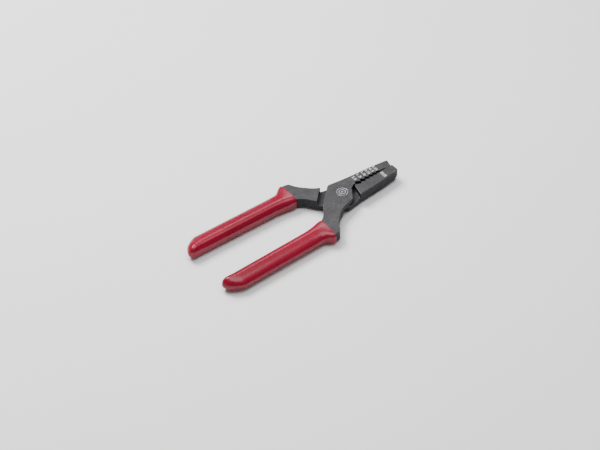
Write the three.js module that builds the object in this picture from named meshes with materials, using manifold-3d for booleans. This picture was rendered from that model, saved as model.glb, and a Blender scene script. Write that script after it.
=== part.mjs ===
// Crimping pliers for wire end ferrules: two forged levers lapped over each other on a flush rivet,
// with a plastic grip on each handle. Millimetres. +X runs from the pivot to the jaw tips, +Y to the
// handle of the rear lever, +Z out of the front face. The origin is on the pivot axis, on the back face.
import * as THREE from "three";
import { mergeVertices } from "three/addons/utils/BufferGeometryUtils.js";
import Module from "manifold-3d";

// Overall sizes
const headThickness = 7.2;
const jawReach = 40.1; // pivot to jaw tips
const handleReach = 106; // pivot to the far ends of the grips
const gripMouth = 26.8; // pivot to the open ends of the grips

// Rounding at the corners of the forging's outline
const bendRound = 3;
const cornerRound = 1.6;
const smallRound = 0.8;
const cutMargin = 1; // cuts run this far past the faces that they open

// Joint
const lapGap = 0.2; // running gap between the two lapped plates
const lapEdgeAngle = 133; // degrees, which way the plate's handle-side edge faces
const lapEdgeDistance = 10; // from the pivot to that edge
const crotchWidth = 1.9; // from the long axis to where that edge meets the handle
const grooveWidth = 4.1; // between that edge and the shoulder of the other lever
const heelAngle = -34; // degrees, which way the plate's jaw-side edge faces
const heelDistance = 6.2;
const heelTopWidth = 0.6; // the heel's two ends, from the long axis
const heelLowWidth = 8.4;
const heelEndAt = 0.2; // where the plate's outer edge starts, behind the pivot
const heelEndWidth = 9.2;
const pocketAngle = 14; // degrees, which way the jaw's inner wall faces
const pocketDistance = 9.5;
const rivetHeadRadius = 3.8;
const rivetShankRadius = 2.7;
const rivetHeadRim = 0.5; // straight rim above the countersink
const rivetClearance = 0.06;

// Jaws
const jawRootWidth = 8.6; // half width of the closed jaws at the joint
const jawBendWidth = 7.2;
const jawTipWidth = 5.6;
const jawBendAt = 27;
const jawRootAt = 8.5;
const plateCornerWidth = 10.4; // the widest point of the plate
const jawLine = 0.45; // from the long axis to the line where the jaws meet, on the front jaw's side
const jawSlit = 0.8; // gap along the crimping edges
const tipGap = 0.2; // gap left between the tips
const tipContact = 5.9; // length of the tips that meet
const tipRound = 1.3;
const tipEdgeRound = 0.6; // the tips' corners on the crimping side
const noseLength = 3.4; // the back of both tips slopes off over this length
const noseDrop = 2.6;
const nestRowStart = 11.2; // pivot to the near side of the largest nest
const nestRowLead = 1.8; // plain edge between the joint and that nest
const nestSizes = [2.5, 1.5, 1, 0.75, 0.5, 0.25]; // conductor areas, square millimetres
const nestRowEnd = 4.2; // plain edge between the last nest and the tips
const ferruleFactor = 1.3; // a ferrule's width over the root of its conductor's area
const nestSlack = 1.6; // how much wider a nest is than its ferrule
const nestLand = 0.25; // least edge between two nests
const nestFloor = 0.2; // width of a nest's floor, as a share of the nest's width
// What differs between the two jaws: which way the lever lies, how deep its nests are and how far
// their floors lean towards the tip, both as shares of their width, and how far the tip is set back
// where the jaws meet.
const frontJaw = { turn: 1, nestDepth: 0.46, nestLean: -0.3, setback: 1.2 };
const rearJaw = { turn: -1, nestDepth: 0.32, nestLean: 0.3, setback: 0.2 };

// Handles
const handleCentreAtMouth = 18.6; // from the long axis to the middle of a handle
const handleLean = 1.25; // degrees that each handle leans outwards
const tangInnerWidth = 12.6; // from the long axis to the tang's edges at the mouth
const tangOuterWidth = 26.9;
const tangFlareBack = 4.5; // grip mouth to the outer corner of the tang
const tangFlareDrop = 0.5;
const tangWaistBack = 7.5; // grip mouth to where the tang narrows
const tangWaistWidth = 20.8;
const tangBendBack = 4.4; // grip mouth to the bend of the tang's inner edge
const tangBendWidth = 9.6;
const backBendAt = 12.8; // bends of the tang's outer edge next to the joint
const backBendWidth = 14.1;
const backRootAt = 8.7;
const backRootWidth = 11.5;
const coreThickness = 4.4;
const coreWidth = 6.6;
const coreEndWidth = 5;
const coreShoulder = 1.1; // step from the tang down to the core inside the grip
const coreRoot = 1; // how far the core runs into the tang
const corePastEnd = 6.5; // plastic beyond the end of the core
const gripFit = 0.2; // gap between core and grip
const hollowOverrun = 5; // the grip's hollow is cut on past its mouth

// Grips
const gripWidth = 12.2;
const gripThickness = 10;
const guardRise = 3.6; // how far the thumb guard stands out
const guardRun = 7.5;
const innerRise = 1.2; // how far the grip widens towards the gap at its mouth
const innerRun = 15;
const endRound = 3.5; // rounding of both edges at the far end
const slantLength = 11; // the outer edge slants in towards the far end over this length
const slantDrop = 6.4;
const slantEase = 1.4; // 1 is a straight slant, higher eases into it
const thicknessNose = 5.6; // length over which the thickness rounds off
const endFlat = 0.05; // the rounding stops this far short of a point
const sectionPower = 2.7; // 2 is an ellipse, higher is squarer
const mouthPower = 4.5; // the section is squarer at the mouth
// The section's top and bottom fall away on both sides of a flat crest, all as shares of half the
// section: where the crest's middle lies towards the inner edge, half its width, and the falls.
const crestAt = 0.45;
const crestHalf = 0.2;
const outerFall = 0.38;
const innerFall = 0.2;
const mouthFall = 0.4; // how much of those falls is there at the mouth
const sectionSides = 28;

const wasm = await Module();
wasm.setup();

const radians = THREE.MathUtils.degToRad;
const upperLap = (headThickness + lapGap) / 2; // underside of the front plate

function toSolid(geometry) {
  const bare = geometry.clone();
  bare.deleteAttribute("normal");
  bare.deleteAttribute("uv");
  const merged = mergeVertices(bare, 1e-4);
  const mesh = new wasm.Mesh({
    numProp: 3,
    vertProperties: merged.getAttribute("position").array,
    triVerts: new Uint32Array(merged.index.array),
  });
  return new wasm.Manifold(mesh);
}

function toGeometry(solid) {
  const mesh = solid.getMesh();
  const geometry = new THREE.BufferGeometry();
  geometry.setAttribute("position", new THREE.BufferAttribute(mesh.vertProperties, 3));
  geometry.setIndex(new THREE.BufferAttribute(mesh.triVerts, 1));
  geometry.computeVertexNormals();
  return geometry;
}

// A closed outline through corners [x, y, ease]; ease is how far from the corner its curve begins,
// and never takes more than 0.45 of a side.
function outline(corners) {
  const shape = new THREE.Shape();
  const count = corners.length;
  corners.forEach(([x, y, ease = 0], i) => {
    const here = new THREE.Vector2(x, y);
    const [before, after] = [corners[(i + count - 1) % count], corners[(i + 1) % count]].map(
      ([nextX, nextY]) => {
        const side = new THREE.Vector2(nextX, nextY).sub(here);
        return here.clone().add(side.setLength(Math.min(ease, 0.45 * side.length())));
      },
    );
    if (i === 0) shape.moveTo(before.x, before.y);
    else shape.lineTo(before.x, before.y);
    if (ease > 0) shape.quadraticCurveTo(x, y, after.x, after.y);
  });
  shape.closePath();
  return shape;
}

function slab(corners, low, high) {
  const options = { depth: high - low, bevelEnabled: false, curveSegments: 5 };
  const geometry = new THREE.ExtrudeGeometry(outline(corners), options);
  return toSolid(geometry.translate(0, 0, low));
}

// A solid of revolution about Z from a profile of [radius, z] that starts and ends on the axis.
function turned(profile) {
  const points = profile.map(([radius, z]) => new THREE.Vector2(radius, z));
  return toSolid(new THREE.LatheGeometry(points, 48).rotateX(Math.PI / 2));
}

// A closed skin over rings that each hold the same number of points, with a flat cap on both ends.
function lofted(rings) {
  const sides = rings[0].length;
  const points = rings.flat();
  const faces = [];
  for (let ring = 0; ring < rings.length - 1; ring++) {
    for (let side = 0; side < sides; side++) {
      const a = ring * sides + side;
      const b = ring * sides + ((side + 1) % sides);
      faces.push(a, b + sides, b, a, a + sides, b + sides);
    }
  }
  const last = (rings.length - 1) * sides;
  for (let side = 1; side < sides - 1; side++) {
    faces.push(0, side, side + 1);
    faces.push(last, last + side + 1, last + side);
  }
  const geometry = new THREE.BufferGeometry().setFromPoints(points);
  geometry.setIndex(faces);
  return toSolid(geometry);
}

// Both levers are described as the front one lies: handle on the -Y side, jaw on the +Y side.
// The rear lever is the same forging turned over about the long axis.

// The corner where two straight edges meet, each given by the way it faces and its distance.
function meet(angleA, distanceA, angleB, distanceB) {
  const [a, b] = [radians(angleA), radians(angleB)];
  const spread = Math.sin(b - a);
  const x = (distanceA * Math.sin(b) - distanceB * Math.sin(a)) / spread;
  const y = (distanceB * Math.cos(a) - distanceA * Math.cos(b)) / spread;
  return [x, y];
}

// Where the edge that faces an angle at a distance crosses a given y.
function edgeAtY(angle, distance, y) {
  return (distance - y * Math.sin(radians(angle))) / Math.cos(radians(angle));
}

function handleCentre(x) {
  return handleCentreAtMouth + (-x - gripMouth) * Math.tan(radians(handleLean));
}

// The nests, each as wide as its ferrule with some slack, and spread evenly over the row. In a row
// that is too short for them, all are narrowed alike.
function nests() {
  const full = nestSizes.map((area) => ferruleFactor * Math.sqrt(area) + nestSlack);
  const gaps = nestSizes.length - 1;
  const total = full.reduce((sum, width) => sum + width);
  const rowLength = jawReach - tipContact - nestRowEnd - nestRowStart;
  const fit = Math.min(1, (rowLength - gaps * nestLand) / total);
  const widths = full.map((width) => fit * width);
  const land = (rowLength - fit * total) / gaps;
  let start = nestRowStart;
  return widths.map((width) => {
    const middle = start + width / 2;
    start += width + land;
    return { middle, width };
  });
}

// The crimping edge from the joint to the tip: the nests with level lands between them, then the step
// up to the tip's face. The front jaw's edges lie jawLine further out than the rear jaw's.
function crimpingEdge({ turn, nestDepth, nestLean, setback }) {
  const line = turn * jawLine;
  const land = (x) => [x, line + jawSlit / 2];
  const points = [];
  for (const { middle, width } of nests()) {
    const floor = line + jawSlit / 2 + nestDepth * width;
    points.push(land(middle - width / 2));
    points.push([middle + (nestLean - nestFloor / 2) * width, floor]);
    points.push([middle + (nestLean + nestFloor / 2) * width, floor]);
    points.push(land(middle + width / 2));
  }
  const tipStart = jawReach - tipContact;
  points.push(land(tipStart - jawSlit / 2));
  points.push([tipStart, line + tipGap / 2]);
  points.push([jawReach - setback, line + tipGap / 2, tipEdgeRound]);
  return points;
}

function headCorners(jaw) {
  const edge = crimpingEdge(jaw);
  return [
    [jawReach, jawTipWidth, tipRound],
    [jawBendAt, jawBendWidth, bendRound],
    [jawRootAt, jawRootWidth, bendRound],
    [edgeAtY(lapEdgeAngle, lapEdgeDistance, plateCornerWidth), plateCornerWidth, cornerRound],
    [edgeAtY(lapEdgeAngle, lapEdgeDistance, -crotchWidth), -crotchWidth, smallRound],
    [tangBendBack - gripMouth, -tangBendWidth, bendRound],
    [-gripMouth, -tangInnerWidth],
    [-gripMouth, -tangOuterWidth, smallRound],
    [tangFlareBack - gripMouth, -tangOuterWidth + tangFlareDrop, cornerRound],
    [tangWaistBack - gripMouth, -tangWaistWidth, bendRound],
    [-backBendAt, -backBendWidth, bendRound],
    [-backRootAt, -backRootWidth, cornerRound],
    [-heelEndAt, -heelEndWidth, cornerRound],
    [edgeAtY(heelAngle, heelDistance, -heelLowWidth), -heelLowWidth, cornerRound],
    [edgeAtY(heelAngle, heelDistance, -heelTopWidth), -heelTopWidth, cornerRound],
    [nestRowStart - nestRowLead, edge[0][1], smallRound],
    ...edge,
  ];
}

// The steel inside a grip, or with room for it all round, the hollow that it fills. The steel runs on
// into the tang, and the hollow runs out through the grip's mouth.
function coreSolid(room) {
  const end = -handleReach + corePastEnd - room;
  const waist = -gripMouth - innerRun;
  const flare = -gripMouth - guardRun;
  const root = -gripMouth + (room > 0 ? hollowOverrun : coreRoot);
  const inner = (x, width) => -handleCentre(x) + width / 2 + room;
  const outer = (x, width) => -handleCentre(x) - width / 2 - room;
  const step = coreShoulder - room;
  const corners = [
    [root, -tangInnerWidth - step],
    [-gripMouth, -tangInnerWidth - step, smallRound],
    [waist, inner(waist, coreWidth), bendRound],
    [end, inner(end, coreEndWidth), cornerRound],
    [end, outer(end, coreEndWidth), cornerRound],
    [waist, outer(waist, coreWidth), bendRound],
    [flare, outer(flare, coreWidth), bendRound],
    [-gripMouth - coreShoulder, -tangOuterWidth + step, smallRound],
    [root, -tangOuterWidth + step],
  ];
  const low = (headThickness - coreThickness) / 2 - room;
  return slab(corners, low, headThickness - low);
}

// The space below the front plate: from the shoulder on the handle side to the jaw's inner wall.
function lapSpace() {
  const reach = 3 * plateCornerWidth;
  const shoulder = lapEdgeDistance + grooveWidth;
  const low = meet(-lapEdgeAngle, shoulder, pocketAngle, pocketDistance);
  const corners = [
    low,
    [edgeAtY(pocketAngle, pocketDistance, reach), reach],
    [edgeAtY(-lapEdgeAngle, shoulder, reach), reach],
  ];
  return slab(corners, -cutMargin, upperLap);
}

// The sloping back of the tips, which is the front of the turned-over lever in its own frame.
function noseSpace({ turn }) {
  const start = jawReach - noseLength;
  const slope = noseDrop / noseLength;
  const corners = [
    [start, 0],
    [start - cutMargin / slope, -cutMargin],
    [jawReach + cutMargin, -cutMargin],
    [jawReach + cutMargin, noseDrop + cutMargin * slope],
  ];
  const flipped = corners.map(([x, z]) => [x, headThickness - z]).reverse();
  const across = slab(turn > 0 ? corners : flipped, -plateCornerWidth, plateCornerWidth);
  return across.rotate([90, 0, 0]);
}

function rivetSolid(room) {
  const slope = rivetHeadRadius - rivetShankRadius;
  const over = room > 0 ? cutMargin : 0;
  return turned([
    [0, -over],
    [rivetHeadRadius + room, -over],
    [rivetHeadRadius + room, rivetHeadRim + room],
    [rivetShankRadius + room, rivetHeadRim + slope + room],
    [rivetShankRadius + room, headThickness - rivetHeadRim - slope - room],
    [rivetHeadRadius + room, headThickness - rivetHeadRim - room],
    [rivetHeadRadius + room, headThickness + over],
    [0, headThickness + over],
  ]);
}

function lever(jaw) {
  return slab(headCorners(jaw), 0, headThickness)
    .subtract(lapSpace())
    .subtract(noseSpace(jaw))
    .subtract(rivetSolid(rivetClearance))
    .add(coreSolid(0));
}

// How much of a rounded end is left at a distance from its tip: a quarter ellipse.
function nose(distance, length) {
  const share = Math.min(1, distance / length);
  return Math.sqrt(Math.max(0, share * (2 - share)));
}

function smooth(share) {
  const t = THREE.MathUtils.clamp(share, 0, 1);
  return t * t * (3 - 2 * t);
}

// How far the section has fallen from its crest at a place across it, from -1 at the outer edge to 1
// at the inner edge.
function sectionFall(across) {
  const fromCrest = Math.max(0, Math.abs(across - crestAt) - crestHalf);
  const [fall, run] = across < crestAt ? [outerFall, 1 + crestAt] : [innerFall, 1 - crestAt];
  return (fall * fromCrest) / (run - crestHalf);
}

// One cross-section of the grip, at a distance from its mouth: a rounded rectangle between an outer
// edge with the thumb guard and an inner edge that widens at the mouth.
function gripRing(distance, length) {
  const x = -gripMouth - distance;
  const left = length - distance + endFlat;
  const middle = handleCentre(x);
  const half = gripWidth / 2;
  const inner = middle - half - innerRise * (1 - smooth(distance / innerRun));
  const outer = middle + half + guardRise * (1 - smooth(distance / guardRun))
    - slantDrop * Math.max(0, 1 - left / slantLength) ** slantEase;
  const centre = (inner + outer) / 2;
  const halfWidth = ((outer - inner) / 2) * nose(left, endRound);
  const halfThickness = (gripThickness / 2) * nose(left, thicknessNose);
  const power = mouthPower + (sectionPower - mouthPower) * smooth(distance / guardRun);
  const fallShare = mouthFall + (1 - mouthFall) * smooth(distance / innerRun);
  const ring = [];
  for (let side = 0; side < sectionSides; side++) {
    const turn = (2 * Math.PI * side) / sectionSides;
    const across = Math.sign(Math.cos(turn)) * Math.abs(Math.cos(turn)) ** (2 / power);
    const up = Math.sign(Math.sin(turn)) * Math.abs(Math.sin(turn)) ** (2 / power);
    const y = -centre + halfWidth * across;
    const height = halfThickness * up * (1 - fallShare * sectionFall(across));
    ring.push(new THREE.Vector3(x, y, headThickness / 2 + height));
  }
  return ring;
}

function grip() {
  const length = handleReach - gripMouth;
  const nearMouth = [0, 0.15, 0.3, 0.45, 0.6, 0.8, 1].map((share) => share * guardRun);
  const alongHandle = [innerRun * 0.75, innerRun, length * 0.45, length * 0.65];
  const nearEnd = [1, 0.8, 0.6, 0.42, 0.28, 0.17, 0.09, 0.03, 0].map((s) => length - s * slantLength);
  const stations = [...nearMouth, ...alongHandle, ...nearEnd];
  return lofted(stations.map((distance) => gripRing(distance, length))).subtract(coreSolid(gripFit));
}

function finish(colour, roughness, metalness) {
  return new THREE.MeshStandardMaterial({ color: colour, roughness, metalness });
}

const blackenedSteel = () => finish(0x4a4a4c, 0.55, 0.8);
const groundSteel = () => finish(0x8c8c8e, 0.4, 0.9);
const redPlastic = () => finish(0xc01528, 0.3, 0);

function piece(name, solid, material) {
  const mesh = new THREE.Mesh(toGeometry(solid), material);
  mesh.name = name;
  return mesh;
}

const frontHalf = new THREE.Group();
frontHalf.add(piece("front_lever", lever(frontJaw), blackenedSteel()));
frontHalf.add(piece("front_grip", grip(), redPlastic()));

const rearHalf = new THREE.Group();
rearHalf.rotation.x = Math.PI;
rearHalf.position.z = headThickness;
rearHalf.add(piece("rear_lever", lever(rearJaw), blackenedSteel()));
rearHalf.add(piece("rear_grip", grip(), redPlastic()));

const pliers = new THREE.Group();
pliers.add(frontHalf, rearHalf);
pliers.add(piece("joint_rivet", rivetSolid(0), groundSteel()));

export default pliers;
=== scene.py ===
# Ferrule crimping pliers: two forged levers on a flush rivet, each with a red grip.
# The pieces' own lengths are millimetres, and mm turns them into scene units, which are metres.
# The looks, the floor, the lights and the camera are given in metres.
import bpy
import bmesh
import math
import numpy as np
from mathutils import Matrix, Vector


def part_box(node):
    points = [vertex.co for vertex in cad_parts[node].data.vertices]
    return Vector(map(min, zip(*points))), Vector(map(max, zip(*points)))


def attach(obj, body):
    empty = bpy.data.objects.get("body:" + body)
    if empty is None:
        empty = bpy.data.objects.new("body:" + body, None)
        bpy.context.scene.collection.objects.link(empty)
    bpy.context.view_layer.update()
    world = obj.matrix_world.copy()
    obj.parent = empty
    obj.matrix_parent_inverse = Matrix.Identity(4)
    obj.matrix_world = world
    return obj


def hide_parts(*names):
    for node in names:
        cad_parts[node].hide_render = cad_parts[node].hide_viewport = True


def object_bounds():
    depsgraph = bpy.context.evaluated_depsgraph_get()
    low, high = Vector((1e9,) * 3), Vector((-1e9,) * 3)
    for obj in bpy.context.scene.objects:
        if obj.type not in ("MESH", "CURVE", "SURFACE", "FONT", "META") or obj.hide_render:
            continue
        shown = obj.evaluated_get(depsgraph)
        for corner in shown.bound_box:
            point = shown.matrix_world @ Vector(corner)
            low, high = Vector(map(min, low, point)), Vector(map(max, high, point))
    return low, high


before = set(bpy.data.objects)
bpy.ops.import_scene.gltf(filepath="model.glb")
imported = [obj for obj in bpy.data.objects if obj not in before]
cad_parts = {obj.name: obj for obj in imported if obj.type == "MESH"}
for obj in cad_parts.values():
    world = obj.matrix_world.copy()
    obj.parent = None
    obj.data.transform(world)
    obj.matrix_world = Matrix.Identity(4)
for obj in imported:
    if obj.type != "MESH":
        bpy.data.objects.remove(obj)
cadBounds = [list(corner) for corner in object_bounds()]
mm = 0.001


def nodeBox(name):
    low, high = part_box(name)
    return np.array(low) / mm, np.array(high) / mm


class Wire:
    # a socket whose sums, products and differences add Math nodes
    def __init__(self, tree, socket):
        self.tree = tree
        self.socket = socket

    def maths(self, operation, *values):
        inputs = {index: value for index, value in enumerate(values)}
        return addNode(self.tree, "ShaderNodeMath", {"operation": operation}, inputs)

    def __add__(self, other):
        return self.maths("ADD", self, other)

    def __radd__(self, other):
        return self.maths("ADD", other, self)

    def __sub__(self, other):
        return self.maths("SUBTRACT", self, other)

    def __rsub__(self, other):
        return self.maths("SUBTRACT", other, self)

    def __mul__(self, other):
        return self.maths("MULTIPLY", self, other)

    def __abs__(self):
        return self.maths("ABSOLUTE", self)

    def step(self, low, high):
        # 0 below low, 1 above high, smooth between
        settings = {"interpolation_type": "SMOOTHSTEP"}
        return addNode(self.tree, "ShaderNodeMapRange", settings, {0: self, 1: low, 2: high})


def addNode(tree, kind, settings=None, inputs=None, output=0):
    # any node: settings first, then values or links for its sockets
    node = tree.nodes.new(kind)
    for name, value in (settings or {}).items():
        setattr(node, name, value)
    for key, value in (inputs or {}).items():
        if isinstance(value, Wire):
            tree.links.new(value.socket, node.inputs[key])
        else:
            node.inputs[key].default_value = value
    return Wire(tree, node.outputs[output])


def mixColour(tree, share, first, second):
    inputs = {0: share, 6: first, 7: second}
    return addNode(tree, "ShaderNodeMix", {"data_type": "RGBA"}, inputs, output=2)


def objectPlace(tree, stretch=(1, 1, 1), turn=0.0):
    # object coordinates, turned about Z and stretched
    place = addNode(tree, "ShaderNodeTexCoord", output="Object")
    inputs = {"Vector": place, "Rotation": (0, 0, turn), "Scale": stretch}
    return addNode(tree, "ShaderNodeMapping", inputs=inputs)


def noise(tree, place, scale, detail, roughness=0.55):
    inputs = {"Vector": place, "Scale": scale, "Detail": detail, "Roughness": roughness}
    return addNode(tree, "ShaderNodeTexNoise", inputs=inputs)


scratch = {
    "stretch": 14,           # how far the lines are drawn out
    "gapStretch": 3,         # and the stretches without them
    "gapScale": 0.7,
    "gapEdge": (0.52, 0.62),
    "detail": 2.0,
}


def scratches(tree, turn, scale, thin):
    # long thin lines: where a stretched noise crosses its middle value
    along = objectPlace(tree, (1, scratch["stretch"], 1), turn)
    apart = objectPlace(tree, (1, scratch["gapStretch"], 1), turn)
    field = noise(tree, along, scale, scratch["detail"])
    gaps = noise(tree, apart, scale * scratch["gapScale"], scratch["detail"])
    return (1 - abs(field - 0.5).step(0.0, thin)) * gaps.step(*scratch["gapEdge"])


def bothScratches(tree, lines):
    first, second = lines
    return scratches(tree, *first) + scratches(tree, *second)


def bump(tree, look, height):
    inputs = {"Strength": look["bump"], "Distance": look["bumpDepth"], "Height": height}
    return addNode(tree, "ShaderNodeBump", inputs=inputs)


def newMaterial(name, look, colour, roughness, normal):
    # the shader's varying sockets are linked, and the look's own shader values stay constant
    material = bpy.data.materials.new(name)
    material.use_nodes = True
    tree = material.node_tree
    tree.nodes.clear()
    shader = tree.nodes.new("ShaderNodeBsdfPrincipled")
    for socket, value in look["shader"].items():
        shader.inputs[socket].default_value = value
    links = {"Base Color": colour(tree), "Roughness": roughness(tree), "Normal": normal(tree)}
    for socket, wire in links.items():
        tree.links.new(wire.socket, shader.inputs[socket])
    out = tree.nodes.new("ShaderNodeOutputMaterial")
    tree.links.new(shader.outputs[0], out.inputs[0])
    return material


def rgb(red, green, blue):
    return (red, green, blue, 1.0)


# In the looks below a noise is its patches per metre, its detail and sometimes its roughness.
# An edge is the two values between which a mask goes from 0 to 1.
steel = {
    "face": rgb(0.038, 0.036, 0.038),    # flat faces, slightly warm
    "faceDark": rgb(0.026, 0.025, 0.028),
    "wall": rgb(0.015, 0.013, 0.019),    # upright sides: painted shade, a darker bluish copy of the steel
    "wallDark": rgb(0.008, 0.007, 0.011),
    "worn": rgb(0.13, 0.127, 0.125),     # where the blackening has gone
    "shader": {"Metallic": 0.15, "Specular IOR Level": 0.34},
    "flatEdge": (0.9, 0.97),             # how upright a normal is on a flat face
    "cloud": (160.0, 5.0, 0.62),
    "cloudEdge": (0.38, 0.64),
    "speck": (2600.0, 3.0),
    "speckEdge": (0.55, 0.75),
    "speckShare": 0.25,                  # how much of the worn tone the specks take
    "lines": ((0.5, 90.0, 0.03), (-0.9, 120.0, 0.02)),    # scratches: turn, scale and width
    "lineShare": 0.35,
    "lapHeight": 0.0036,                 # the lapped faces lie here and are painted dark as shade in their narrow recess
    "lapReach": 0.0003,
    "lapShadeShare": 0.8,
    "roughness": 0.60,
    "handled": (272.0, 4.0),
    "handledRise": 0.25,
    "fine": (1560.0, 3.0),
    "fineRise": 0.20,
    "flatFall": 0.06,                    # flat faces are this much smoother
    "grain": (2600.0, 4.0),
    "grainHeight": 0.35,
    "scale": (900.0, 6.0, 0.68),         # forging scale, fainter on the flat faces
    "scaleHeight": 1.3,
    "lineDepth": 0.4,
    "bump": 0.35,
    "bumpDepth": 0.00006,
}


def flatMask(tree):
    # 1 on faces that look straight up or down
    normal = addNode(tree, "ShaderNodeNewGeometry", output="True Normal")
    upright = abs(addNode(tree, "ShaderNodeSeparateXYZ", inputs={0: normal}, output=2))
    return upright.step(*steel["flatEdge"])


def lapShadeMask(tree):
    # 1 on the lapped faces, where the painted shade goes: flat, and no further than lapReach from the
    # lap's height
    height = addNode(tree, "ShaderNodeSeparateXYZ", inputs={0: objectPlace(tree)}, output=2)
    away = abs(height - steel["lapHeight"])
    return flatMask(tree) * (1 - away.step(steel["lapReach"], steel["lapReach"] * 2))


def steelColour(tree):
    place = objectPlace(tree)
    cloud = noise(tree, place, *steel["cloud"]).step(*steel["cloudEdge"])
    speck = noise(tree, place, *steel["speck"]).step(*steel["speckEdge"])
    face = mixColour(tree, cloud, steel["faceDark"], steel["face"])
    # painted shade: the upright sides take the darker, bluer shaded copy, and the flat faces the lit
    # one
    wall = mixColour(tree, cloud, steel["wallDark"], steel["wall"])
    base = mixColour(tree, flatMask(tree), wall, face)
    dusted = mixColour(tree, speck * steel["speckShare"], base, steel["worn"])
    lines = bothScratches(tree, steel["lines"]) * flatMask(tree)
    lined = mixColour(tree, lines * steel["lineShare"], dusted, steel["worn"])
    # painted shade: the lapped faces are darkened towards the shaded sides' tone
    return mixColour(tree, lapShadeMask(tree) * steel["lapShadeShare"], lined, steel["wallDark"])


def steelRoughness(tree):
    place = objectPlace(tree)
    handled = (noise(tree, place, *steel["handled"]) - 0.5) * steel["handledRise"]
    fine = (noise(tree, place, *steel["fine"]) - 0.5) * steel["fineRise"]
    return steel["roughness"] + handled + fine - flatMask(tree) * steel["flatFall"]


def steelNormal(tree):
    place = objectPlace(tree)
    grain = noise(tree, place, *steel["grain"])
    scale = noise(tree, place, *steel["scale"])
    height = grain * steel["grainHeight"] + scale * (steel["scaleHeight"] - flatMask(tree))
    lines = scratches(tree, *steel["lines"][0]) * flatMask(tree)
    return bump(tree, steel, height - lines * steel["lineDepth"])


rubbed = {
    "shader": {"Metallic": 0.6},
    "patches": (420.0, 5.0, 0.65),
    "patchEdge": (0.40, 0.66),
    "patchShare": 0.75,      # how far a rubbed edge goes from the face's tone to the worn one
    "roughness": 0.36,
    "fine": (700.0, 4.0),
    "fineRise": 0.22,
}


def rubbedColour(tree):
    patch = noise(tree, objectPlace(tree), *rubbed["patches"]).step(*rubbed["patchEdge"])
    return mixColour(tree, patch * rubbed["patchShare"], steel["face"], steel["worn"])


def rubbedRoughness(tree):
    return rubbed["roughness"] + noise(tree, objectPlace(tree), *rubbed["fine"]) * rubbed["fineRise"]


rivet = {
    "colour": rgb(0.38, 0.38, 0.39),
    "ringDark": rgb(0.04, 0.04, 0.042),
    "shader": {"Metallic": 0.7},
    "rings": 640.0,          # turning marks per metre of radius
    "ringEdge": (0.2, 0.9),
    "leastRing": 0.35,       # how light a ring is where it has worn away
    "patches": (420.0, 4.0),
    "patchEdge": (0.36, 0.62),
    "roughness": 0.34,
    "fine": (900.0, 4.0),
    "fineRise": 0.2,
    "bump": 0.3,
    "bumpDepth": 0.00003,
}


def ringWave(tree):
    # concentric turning marks: a sine of the distance from the joint's axis
    place = addNode(tree, "ShaderNodeTexCoord", output="Object")
    flat = addNode(tree, "ShaderNodeVectorMath", {"operation": "MULTIPLY"}, {0: place, 1: (1, 1, 0)})
    radius = addNode(tree, "ShaderNodeVectorMath", {"operation": "LENGTH"}, {0: flat}, output="Value")
    return radius.maths("SINE", radius * rivet["rings"] * 2 * math.pi)


def rivetColour(tree):
    # light rings that come and go round the face
    wave = ringWave(tree).step(*rivet["ringEdge"])
    patch = noise(tree, objectPlace(tree), *rivet["patches"]).step(*rivet["patchEdge"])
    shine = wave * (rivet["leastRing"] + patch * (1 - rivet["leastRing"]))
    return mixColour(tree, shine, rivet["ringDark"], rivet["colour"])


def rivetRoughness(tree):
    return rivet["roughness"] + noise(tree, objectPlace(tree), *rivet["fine"]) * rivet["fineRise"]


def rivetNormal(tree):
    return bump(tree, rivet, ringWave(tree))


plastic = {
    "colour": rgb(0.25, 0.0004, 0.021),
    "deep": rgb(0.21, 0.0004, 0.017),
    "scuff": rgb(0.36, 0.01, 0.035),
    "shader": {"IOR": 1.46, "Specular IOR Level": 0.38, "Coat Weight": 0.06,
               "Coat Roughness": 0.1},
    "flow": (90.0, 4.0),
    "flowStretch": 0.35,     # the flow marks are drawn out along the grip
    "flowEdge": (0.35, 0.68),
    "specks": (1500.0, 4.0),
    "speckEdge": (0.66, 0.80),
    "speckShare": 0.05,      # how much of the scuffed tone the specks take
    "lines": ((0.15, 60.0, 0.03), (-0.4, 85.0, 0.02)),    # scratches: turn, scale and width
    "lineShare": 0.06,
    "roughness": 0.27,
    "handled": (130.0, 4.0),
    "handledRise": 0.14,
    "lineRise": 0.10,
    "peel": (420.0, 3.0),    # the moulded skin
    "fine": (3200.0, 3.0),
    "fineHeight": 0.18,
    "bump": 0.22,
    "bumpDepth": 0.00008,
}


def plasticColour(tree):
    drawn = objectPlace(tree, (plastic["flowStretch"], 1, 1))
    flow = noise(tree, drawn, *plastic["flow"]).step(*plastic["flowEdge"])
    base = mixColour(tree, flow, plastic["deep"], plastic["colour"])
    speck = noise(tree, objectPlace(tree), *plastic["specks"]).step(*plastic["speckEdge"])
    lines = bothScratches(tree, plastic["lines"])
    share = speck * plastic["speckShare"] + lines * plastic["lineShare"]
    return mixColour(tree, share, base, plastic["scuff"])


def plasticRoughness(tree):
    handled = (noise(tree, objectPlace(tree), *plastic["handled"]) - 0.5) * plastic["handledRise"]
    lines = scratches(tree, *plastic["lines"][0])
    return plastic["roughness"] + handled + lines * plastic["lineRise"]


def plasticNormal(tree):
    place = objectPlace(tree)
    peel = noise(tree, place, *plastic["peel"])
    fine = noise(tree, place, *plastic["fine"])
    return bump(tree, plastic, peel + fine * plastic["fineHeight"])


ink = {
    "colour": rgb(0.62, 0.62, 0.63),
    "shader": {"Metallic": 0.0},
    "patches": (1900.0, 4.0, 0.65),
    "patchEdge": (0.60, 0.76),
    "patchShare": 0.45,      # how far the steel shows through where it is rubbed
    "roughness": 0.45,
    "fine": (1500.0, 3.0),
    "fineRise": 0.2,
    "grain": (2400.0, 3.0),
    "bump": 0.2,
    "bumpDepth": 0.00002,
}


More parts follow.
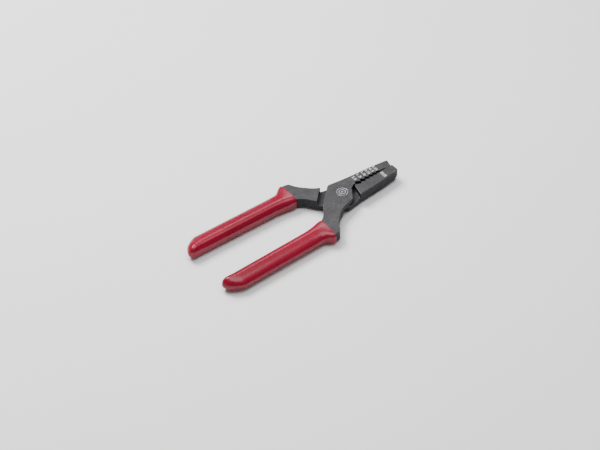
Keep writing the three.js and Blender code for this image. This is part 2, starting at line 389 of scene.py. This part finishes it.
def inkColour(tree):
    patch = noise(tree, objectPlace(tree), *ink["patches"]).step(*ink["patchEdge"])
    return mixColour(tree, patch * ink["patchShare"], ink["colour"], steel["face"])


def inkRoughness(tree):
    return ink["roughness"] + noise(tree, objectPlace(tree), *ink["fine"]) * ink["fineRise"]


def inkNormal(tree):
    return bump(tree, ink, noise(tree, objectPlace(tree), *ink["grain"]))


floor = {
    "dark": rgb(0.88, 0.88, 0.87),
    "light": rgb(0.92, 0.92, 0.91),
    "shader": {"Specular IOR Level": 0.2},
    "tone": (9.0, 3.0),
    "roughness": 0.55,
    "fine": (40.0, 3.0),
    "fineRise": 0.15,
    "grain": (700.0, 3.0),
    "bump": 0.05,
    "bumpDepth": 0.0001,
    "half": 3.0,             # from the middle to an edge
    "squares": 12,
    "below": 0.00005,        # under the lowest point of the pliers
}


def floorColour(tree):
    tone = noise(tree, objectPlace(tree), *floor["tone"])
    return mixColour(tree, tone, floor["dark"], floor["light"])


def floorRoughness(tree):
    return floor["roughness"] + noise(tree, objectPlace(tree), *floor["fine"]) * floor["fineRise"]


def floorNormal(tree):
    return bump(tree, floor, noise(tree, objectPlace(tree), *floor["grain"]))


forgedSteel = newMaterial("forgedSteel", steel, steelColour, steelRoughness, steelNormal)
wornEdge = newMaterial("wornEdge", rubbed, rubbedColour, rubbedRoughness, steelNormal)
groundSteel = newMaterial("groundSteel", rivet, rivetColour, rivetRoughness, rivetNormal)
redPlastic = newMaterial("redPlastic", plastic, plasticColour, plasticRoughness, plasticNormal)
whiteInk = newMaterial("whiteInk", ink, inkColour, inkRoughness, inkNormal)
paleFloor = newMaterial("paleFloor", floor, floorColour, floorRoughness, floorNormal)
print("materials made")


def addObject(name, mesh, *materials):
    piece = bpy.data.objects.new(name, mesh)
    bpy.context.scene.collection.objects.link(piece)
    for material in materials:
        mesh.materials.append(material)
    return piece


def gridMesh(name, points):
    # points[i, j] is ring i, side j: rings closed round, and each end closed by one point
    rings, sides = points.shape[:2]
    i, j = np.meshgrid(np.arange(rings - 1), np.arange(sides), indexing="ij")
    k = (j + 1) % sides
    faces = np.stack([i * sides + j, (i + 1) * sides + j, (i + 1) * sides + k, i * sides + k], -1)
    faces = faces.reshape(-1, 4).tolist()
    first, last = rings * sides, rings * sides + 1
    flat = np.vstack([points.reshape(-1, 3), points[0].mean(0), points[-1].mean(0)])
    side = np.arange(sides)
    after = (side + 1) % sides
    top = (rings - 1) * sides
    faces += np.stack([np.full(sides, first), side, after], -1).tolist()
    faces += np.stack([np.full(sides, last), top + after, top + side], -1).tolist()
    mesh = bpy.data.meshes.new(name)
    mesh.from_pydata((flat * mm).tolist(), [], faces)
    turnOutwards(mesh)
    mesh.polygons.foreach_set("use_smooth", np.ones(len(mesh.polygons), bool))
    mesh.validate()
    return mesh


def ringMesh(name, points):
    # points[i, j] closed both ways, as a torus is
    rings, sides = points.shape[:2]
    i, j = np.meshgrid(np.arange(rings), np.arange(sides), indexing="ij")
    n, k = (i + 1) % rings, (j + 1) % sides
    faces = np.stack([i * sides + j, n * sides + j, n * sides + k, i * sides + k], -1)
    mesh = bpy.data.meshes.new(name)
    mesh.from_pydata((points.reshape(-1, 3) * mm).tolist(), [], faces.reshape(-1, 4).tolist())
    turnOutwards(mesh)
    mesh.polygons.foreach_set("use_smooth", np.ones(len(mesh.polygons), bool))
    return mesh


def turnOutwards(mesh):
    builder = bmesh.new()
    builder.from_mesh(mesh)
    bmesh.ops.recalc_face_normals(builder, faces=builder.faces)
    builder.to_mesh(mesh)
    builder.free()


def turnOver(points, thickness):
    # the same shape turned over about the long axis
    return points * np.array([1, -1, -1]) + np.array([0, 0, thickness])


grip = {
    "centreAtMouth": 18.6,   # long axis to the middle of the handle
    "lean": 1.25,            # degrees
    "width": 12.2,
    "thickness": 10.0,
    "guardRise": 3.6,        # thumb guard
    "guardRun": 7.5,
    "innerRise": 1.2,        # widening towards the gap
    "innerRun": 15.0,
    "endRound": 3.5,
    "slantLength": 11.0,     # the outer edge slants in at the far end
    "slantDrop": 6.4,
    "slantEase": 1.4,
    "thicknessNose": 5.6,
    "power": 2.7,            # squareness of the section, and at the mouth
    "mouthPower": 4.5,
    "crestAt": 0.45,         # middle of the flat crest, -1 outer edge to 1 inner edge
    "crestHalf": 0.2,
    "outerFall": 0.38,       # how far the section falls from the crest, as shares of its half
    "innerFall": 0.2,
    "mouthFall": 0.4,        # how much of those falls is there at the mouth
    "crease": 0.05,          # softness of the crest's two edges
    "lip": 0.3,              # rounding at the mouth
    "wallAtMouth": 1.3,      # plastic between tang and grip there
    "coreWidth": 6.6,
    "coreThickness": 4.4,
    "corePastEnd": 6.5,
    "coreFit": 0.3,
    "hollowPower": 9.0,      # squareness of the hollow
    "sides": 160,
    "rings": 150,            # outside rings, closer together towards the mouth
    "crowding": 1.8,
    "tip": 0.003,            # the outermost ring's distance from the end
    "lipRings": 8,
    "hollowRings": 40,
}


def nose(distance, length):
    # quarter ellipse: 0 at the tip, 1 from length on
    share = np.clip(distance / length, 0, 1)
    return np.sqrt(share * (2 - share))


def smooth(share):
    share = np.clip(share, 0, 1)
    return share * share * (3 - 2 * share)


def gripMiddle(distance):
    return grip["centreAtMouth"] + distance * math.tan(math.radians(grip["lean"]))


def gripEdges(distance, length):
    # inner and outer edge from the long axis, and half the thickness, at a distance from the mouth:
    # a leaning strip that widens to a guard at the mouth, slants at the far end and rounds off there
    middle = gripMiddle(distance)
    half = grip["width"] / 2
    left = length - distance
    slant = np.maximum(0, 1 - left / grip["slantLength"]) ** grip["slantEase"]
    inner = middle - half - grip["innerRise"] * (1 - smooth(distance / grip["innerRun"]))
    outer = (middle + half + grip["guardRise"] * (1 - smooth(distance / grip["guardRun"]))
             - grip["slantDrop"] * slant)
    centre = (inner + outer) / 2
    halfWide = (outer - inner) / 2 * nose(left, grip["endRound"])
    halfThick = grip["thickness"] / 2 * nose(left, grip["thicknessNose"])
    return centre, halfWide, halfThick


def sectionFall(across):
    # how far the section has fallen from its flat crest, at a place across it
    crest = grip["crestAt"]
    beyond = np.maximum(0, np.abs(across - crest) - grip["crestHalf"])
    soft = np.sqrt(beyond ** 2 + grip["crease"] ** 2) - grip["crease"]
    outerRate = grip["outerFall"] / (1 + crest - grip["crestHalf"])
    innerRate = grip["innerFall"] / (1 - crest - grip["crestHalf"])
    return soft * np.where(across < crest, outerRate, innerRate)


def gripPoints(low, high, thickness):
    # rings from the far end along the outside to the mouth, round its lip, and back down the hollow.
    # each ring is a superellipse whose top and bottom fall away on both sides of a crest.
    mouth, reach = -high[0], -low[0]
    length = reach - mouth
    lip = grip["lip"]
    towards = np.linspace(0, 1, grip["rings"])
    outside = (length - lip) * (1 - towards ** grip["crowding"]) + lip
    outside[0] = length - grip["tip"]
    turn = np.linspace(0, math.pi / 2, grip["lipRings"])[1:]
    lipAlong = lip * (1 - np.sin(turn))
    hollow = np.linspace(0, length - grip["corePastEnd"], grip["hollowRings"])
    distance = np.concatenate([outside, lipAlong, hollow])
    inset = np.concatenate([0 * outside, lip * (1 - np.cos(turn)), 0 * hollow])
    centre, halfWide, halfThick = gripEdges(distance, length)
    inside = np.arange(len(distance)) >= len(outside) + len(lipAlong)
    run = smooth(distance / grip["guardRun"])
    mouthCentre, mouthHalf = centre[-len(hollow)], halfWide[-len(hollow)] - grip["wallAtMouth"]
    coreHalf = grip["coreWidth"] / 2 + grip["coreFit"]
    centre = np.where(inside, mouthCentre + (gripMiddle(distance) - mouthCentre) * run, centre)
    halfWide = np.where(inside, mouthHalf + (coreHalf - mouthHalf) * run, halfWide - inset)
    halfThick = np.where(inside, grip["coreThickness"] / 2 + grip["coreFit"], halfThick - inset)
    skinPower = grip["mouthPower"] + (grip["power"] - grip["mouthPower"]) * run
    power = np.where(inside, grip["hollowPower"], skinPower)[:, None]
    settled = grip["mouthFall"] + (1 - grip["mouthFall"]) * smooth(distance / grip["innerRun"])
    fallShare = np.where(inside, 0.0, settled)[:, None]
    angle = np.arange(grip["sides"]) * 2 * math.pi / grip["sides"]
    across = np.sign(np.cos(angle)) * np.abs(np.cos(angle)) ** (2 / power)
    up = np.sign(np.sin(angle)) * np.abs(np.sin(angle)) ** (2 / power)
    y = -centre[:, None] + halfWide[:, None] * across
    rise = halfThick[:, None] * up * (1 - fallShare * sectionFall(across))
    z = thickness / 2 + rise * (high[2] - low[2]) / np.ptp(rise)
    x = np.repeat((-mouth - distance)[:, None], grip["sides"], 1)
    return np.stack([x, y, z], -1)


def makeGrips():
    thickness = nodeBox("front_lever")[1][2] - nodeBox("front_lever")[0][2]
    low, high = nodeBox("front_grip")
    points = gripPoints(low, high, thickness)
    for half, shape in (("front", points), ("rear", turnOver(points, thickness))):
        sleeve = addObject(f"{half}GripSleeve", gridMesh(f"{half}GripSleeve", shape), redPlastic)
        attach(sleeve, f"{half}_half")
        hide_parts(f"{half}_grip")
    print("grips made")


lever = {
    "edge": 0.32,              # rounding of the forging's edges
    "fineEdge": 0.06,          # rounding along the crimping edges
    "fineReach": (7.6, 38.0),  # from the joint's axis, where the fine rounding starts and ends
    "fineWidth": 2.6,          # and how far from the long axis it goes
    "edgeSteps": 3,
    "sharpAngle": 28.0,        # degrees
    "flatAngle": 0.6,          # faces that turn less than this are one flat
    "weld": 0.001,             # points closer than this are one
}


def cleanCopy(name, node):
    # the forging's own solid, with its loose triangles merged and its flats made whole
    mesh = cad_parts[node].data.copy()
    mesh.name = name
    mesh.materials.clear()
    builder = bmesh.new()
    builder.from_mesh(mesh)
    bmesh.ops.remove_doubles(builder, verts=builder.verts, dist=lever["weld"] * mm)
    bmesh.ops.dissolve_limit(builder, angle_limit=math.radians(lever["flatAngle"]),
                             verts=builder.verts, edges=builder.edges)
    builder.to_mesh(mesh)
    builder.free()
    return mesh


def weighEdges(mesh):
    # each sharp edge gets a bevel weight: full on the outline, small beside the crimping nests
    builder = bmesh.new()
    builder.from_mesh(mesh)
    weights = builder.edges.layers.float.new("bevel_weight_edge")
    fine = lever["fineEdge"] / lever["edge"]
    start, end = lever["fineReach"]
    for edge in builder.edges:
        if not edge.is_manifold or edge.calc_face_angle() < math.radians(lever["sharpAngle"]):
            continue
        middle = (edge.verts[0].co + edge.verts[1].co) / 2 / mm
        atNests = start < middle.x < end and abs(middle.y) < lever["fineWidth"]
        edge[weights] = fine if atNests else 1.0
    builder.to_mesh(mesh)
    builder.free()


def makeLevers():
    for half in ("front", "rear"):
        mesh = cleanCopy(f"{half}LeverForging", f"{half}_lever")
        weighEdges(mesh)
        mesh.polygons.foreach_set("use_smooth", np.ones(len(mesh.polygons), bool))
        mesh.set_sharp_from_angle(angle=math.radians(lever["sharpAngle"]))
        forging = addObject(f"{half}LeverForging", mesh, forgedSteel, wornEdge)
        bevel = forging.modifiers.new("roundedEdges", "BEVEL")
        bevel.limit_method = "WEIGHT"
        bevel.width = lever["edge"] * mm
        bevel.segments = lever["edgeSteps"]
        bevel.use_clamp_overlap = False
        bevel.material = 1
        bevel.harden_normals = True
        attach(forging, f"{half}_half")
        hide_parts(f"{half}_lever")
    print("levers made")


rivetShape = {
    "rim": 0.18,        # chamfer round each head
    "groove": 0.05,     # depth of the turned groove near the rim
    "grooveAt": 0.82,   # share of the head's radius
    "grooveWidth": 0.035,
    "dish": 0.04,
    "rimHeight": 0.5,   # straight side of each head, above the countersink
    "shank": 0.71,      # share of the head's radius
    "eye": 0.002,       # share of the radius where the innermost ring is
    "rings": 60,        # from there to the chamfer
    "sides": 128,
    "sharpAngle": 30.0,
}


def makeRivet():
    # a profile turned about Z: shallow dish, groove near the rim, chamfer, countersink, shank
    low, high = nodeBox("joint_rivet")
    radius = (high[0] - low[0]) / 2
    middle = (low[2] + high[2]) / 2
    head = rivetShape
    share = np.linspace(head["eye"], 1 - head["rim"] / radius, head["rings"])
    ring = np.exp(-((share - head["grooveAt"]) / head["grooveWidth"]) ** 2)
    top = high[2] - head["dish"] * (1 - share ** 2) - head["groove"] * ring
    shank = radius * head["shank"]
    under = high[2] - head["rimHeight"]
    r = np.concatenate([share * radius, [radius, radius, shank, shank]])
    z = np.concatenate([top, [high[2] - head["rim"], under, under - (radius - shank), middle]])
    r = np.concatenate([r, r[-2::-1]])
    z = np.concatenate([z, 2 * middle - z[-2::-1]])
    angle = np.arange(head["sides"]) * 2 * math.pi / head["sides"]
    points = np.stack([r[:, None] * np.cos(angle), r[:, None] * np.sin(angle),
                       np.repeat(z[:, None], head["sides"], 1)], -1)
    mesh = gridMesh("jointRivet", points)
    mesh.set_sharp_from_angle(angle=math.radians(head["sharpAngle"]))
    piece = addObject("jointRivet", mesh, groundSteel)
    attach(piece, "rear_half")
    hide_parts("joint_rivet")
    print("rivet made")


printed = {
    "sizes": ["2.5", "1.5", "1.0", "0.75", "0.5", "0.25"],    # square millimetres
    "rowStart": 11.2,            # the nests' row from the joint's axis, as the forging has it
    "rowEnd": 10.1,              # and from the jaw's tip
    "factor": 1.3,               # a nest's width over the root of its area, and what is added
    "slack": 1.6,
    "ahead": 0.5,                # each numeral stands a little nearer the tip than its nest
    "across": (5.1, 4.3),        # long axis to the first and the last numeral
    "height": 1.7,
    "length": {3: 3.7, 4: 4.4},  # by number of characters
    "bold": 0.008,
    "unitAt": (30.0, -3.35),
    "unitLength": 4.5,
    "unitHeight": 2.1,
    "unitSpacing": 1.35,
    "thickness": 0.02,
    "curveSteps": 6,
    "weld": 0.00001,             # points closer than this are one
}


def nestMiddles(reach):
    # nests as wide as their ferrules, spread evenly over the row
    areas = np.array([float(size) for size in printed["sizes"]])
    widths = printed["factor"] * np.sqrt(areas) + printed["slack"]
    row = reach - printed["rowEnd"] - printed["rowStart"]
    land = (row - widths.sum()) / (len(widths) - 1)
    return printed["rowStart"] + np.cumsum(widths + land) - land - widths / 2


def inkMesh(name, text, centre, length, height, top, spacing=1.0):
    # letters from a text curve, scaled to length and height, turned to read towards -Y, on the face
    curve = bpy.data.curves.new(name, "FONT")
    curve.body = text
    curve.extrude = 0.5
    curve.offset = printed["bold"]
    curve.space_character = spacing
    curve.resolution_u = printed["curveSteps"]
    holder = bpy.data.objects.new(name, curve)
    bpy.context.scene.collection.objects.link(holder)
    bpy.context.view_layer.update()
    shape = bpy.data.meshes.new_from_object(holder)
    bpy.data.objects.remove(holder)
    co = np.zeros(len(shape.vertices) * 3)
    shape.vertices.foreach_get("co", co)
    co = co.reshape(-1, 3)
    low, high = co.min(0), co.max(0)
    unit = (co - (low + high) / 2) / (high - low)
    placed = np.stack([centre[0] + unit[:, 1] * height, centre[1] - unit[:, 0] * length,
                       top + (unit[:, 2] + 0.5) * printed["thickness"]], -1)
    shape.vertices.foreach_set("co", (placed * mm).ravel())
    shape.update()
    builder = bmesh.new()
    builder.from_mesh(shape)
    bmesh.ops.remove_doubles(builder, verts=builder.verts, dist=printed["weld"] * mm)
    bmesh.ops.recalc_face_normals(builder, faces=builder.faces)
    builder.to_mesh(shape)
    builder.free()
    return shape


def makeNumerals():
    top = nodeBox("front_lever")[1][2]
    along = nestMiddles(nodeBox("rear_lever")[1][0]) + printed["ahead"]
    across = np.linspace(*printed["across"], len(along))
    for text, x, y in zip(printed["sizes"], along, across):
        name = "nestSize_" + text.replace(".", "_")
        shape = inkMesh(name, text, (x, y), printed["length"][len(text)], printed["height"], top)
        piece = addObject(name, shape, whiteInk)
        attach(piece, "front_half")
    shape = inkMesh("unitMark", "mm", printed["unitAt"], printed["unitLength"],
                    printed["unitHeight"], top, printed["unitSpacing"])
    piece = addObject("unitMark", shape, whiteInk)
    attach(piece, "rear_half")
    print("numerals made")


panel = {
    "centre": (-9.4, -6.1),
    "turn": -129.5,      # degrees, along the tang
    "length": 7.0,
    "width": 3.1,
    "corner": 0.9,
    "line": 0.42,        # width of its raised border
    "rise": 0.08,
    "steps": 160,        # along the border
    "sides": 12,         # round it
}


def makePanel():
    # a low half-round border carried along a rounded rectangle on the face of the front tang
    top = nodeBox("front_lever")[1][2]
    angle = np.arange(panel["steps"]) * 2 * math.pi / panel["steps"]
    half = np.array([panel["length"], panel["width"]]) / 2 - panel["corner"]
    ring = np.stack([np.cos(angle), np.sin(angle)], -1)
    path = np.sign(ring) * half + ring * panel["corner"]
    turn = math.radians(panel["turn"])
    spin = np.array([[math.cos(turn), math.sin(turn)], [-math.sin(turn), math.cos(turn)]])
    around = np.arange(panel["sides"]) * 2 * math.pi / panel["sides"]
    flat = path[:, None, :] + ring[:, None, :] * (np.cos(around) * panel["line"] / 2)[None, :, None]
    flat = flat @ spin + np.array(panel["centre"])
    z = np.repeat((top + np.sin(around) * panel["rise"])[None, :], len(path), 0)
    points = np.concatenate([flat, z[..., None]], -1)
    shape = ringMesh("stampedPanel", points)
    piece = addObject("stampedPanel", shape, wornEdge)
    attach(piece, "front_half")
    print("panel made")


def makeFloor():
    low = cadBounds[0][2] - floor["below"]
    count = floor["squares"]
    side = np.linspace(-floor["half"], floor["half"], count + 1)
    x, y = np.meshgrid(side, side, indexing="ij")
    points = np.stack([x, y, np.full_like(x, low)], -1).reshape(-1, 3)
    i, j = np.meshgrid(np.arange(count), np.arange(count), indexing="ij")
    corner = (i * (count + 1) + j).ravel()
    faces = np.stack([corner, corner + count + 1, corner + count + 2, corner + 1], -1)
    mesh = bpy.data.meshes.new("floor")
    mesh.from_pydata(points.tolist(), [], faces.tolist())
    addObject("floor", mesh, paleFloor)


lights = {
    # azimuth and elevation from the pliers in degrees, distance, side, power in watts
    "key": (-172.0, 54.0, 1.0, 0.45, 16.0),
    "top": (40.0, 85.0, 1.1, 0.7, 8.0),
    "sheen": (142.0, 46.0, 1.2, 0.35, 2.5),
}


studio = {
    "colour": rgb(0.95, 0.97, 1.0),
    "strength": 0.28,
    "aim": (-0.03, 0, 0),    # where every light points
}


def direction(azimuth, elevation):
    a, e = math.radians(azimuth), math.radians(elevation)
    return np.array([math.sin(a) * math.cos(e), -math.cos(a) * math.cos(e), math.sin(e)])


def aim(holder, target, azimuth, elevation, distance):
    back = direction(azimuth, elevation)
    holder.location = np.array(target) + back * distance
    a, e = math.radians(azimuth), math.radians(elevation)
    holder.rotation_euler = (math.pi / 2 - e, 0, a)


def makeLights():
    for name, (azimuth, elevation, distance, side, power) in lights.items():
        lamp = bpy.data.lights.new(name, "AREA")
        lamp.shape = "SQUARE"
        lamp.size = side
        lamp.energy = power
        holder = bpy.data.objects.new(name, lamp)
        bpy.context.scene.collection.objects.link(holder)
        aim(holder, studio["aim"], azimuth, elevation, distance)
    world = bpy.data.worlds.new("studio")
    world.use_nodes = True
    background = world.node_tree.nodes["Background"]
    background.inputs["Color"].default_value = studio["colour"]
    background.inputs["Strength"].default_value = studio["strength"]
    bpy.context.scene.world = world


camera = {
    "azimuth": -38.06,
    "elevation": 43.87,
    "distance": 2.092,
    "lens": 204.0,
    "sensor": 36.0,
    "nearest": 0.01,
    "target": (-0.0349, -0.0021, 0.0009),
}


def makeCamera():
    data = bpy.data.cameras.new("camera")
    data.lens = camera["lens"]
    data.sensor_width = camera["sensor"]
    data.clip_start = camera["nearest"]
    holder = bpy.data.objects.new("camera", data)
    bpy.context.scene.collection.objects.link(holder)
    aim(holder, camera["target"], camera["azimuth"], camera["elevation"], camera["distance"])
    bpy.context.scene.camera = holder


makeLevers()
makeGrips()
makeRivet()
makeNumerals()
makePanel()
makeFloor()
makeLights()
makeCamera()
